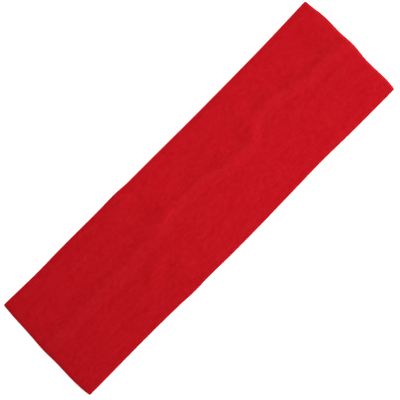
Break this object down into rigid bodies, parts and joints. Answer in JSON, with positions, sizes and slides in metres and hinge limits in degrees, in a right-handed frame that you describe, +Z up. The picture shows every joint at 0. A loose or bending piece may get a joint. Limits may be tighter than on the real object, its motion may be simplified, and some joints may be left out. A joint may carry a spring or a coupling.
{
  "type": "sports headband",
  "caption": "Wide double-ply jersey sweatband for the head, a closed stretch loop lying flat, with an inner long seam and a cross seam.",
  "frame": {"origin": "middle of the underside, on the surface that the flat band lies on", "axes": "+X along the band, +Y across its width, +Z up through its thickness"},
  "size_m": [0.245, 0.07, 0.0056],
  "materials": {
    "red_jersey": "matte",
    "red_thread": "matte"
  },
  "bodies": {
    "root": {"back_left_outer_ply": "red_jersey", "back_right_outer_ply": "red_jersey", "right_turn_outer_ply": "red_jersey", "front_outer_ply": "red_jersey", "left_turn_outer_ply": "red_jersey", "back_left_inner_ply": "red_jersey", "back_right_inner_ply": "red_jersey", "right_turn_inner_ply": "red_jersey", "front_inner_ply": "red_jersey", "left_turn_inner_ply": "red_jersey", "long_seam_upper_allowance": "red_jersey", "long_seam_lower_allowance": "red_jersey", "cross_seam_left_inner_allowance": "red_jersey", "cross_seam_left_outer_allowance": "red_jersey", "cross_seam_right_outer_allowance": "red_jersey", "cross_seam_right_inner_allowance": "red_jersey", "long_seam_left_needle_thread": "red_thread", "long_seam_right_needle_thread": "red_thread", "long_seam_upper_looper_thread": "red_thread", "long_seam_lower_looper_thread": "red_thread", "cross_seam_left_needle_thread": "red_thread", "cross_seam_right_needle_thread": "red_thread", "cross_seam_upper_looper_thread": "red_thread", "cross_seam_lower_looper_thread": "red_thread"}
  },
  "joints": []
}
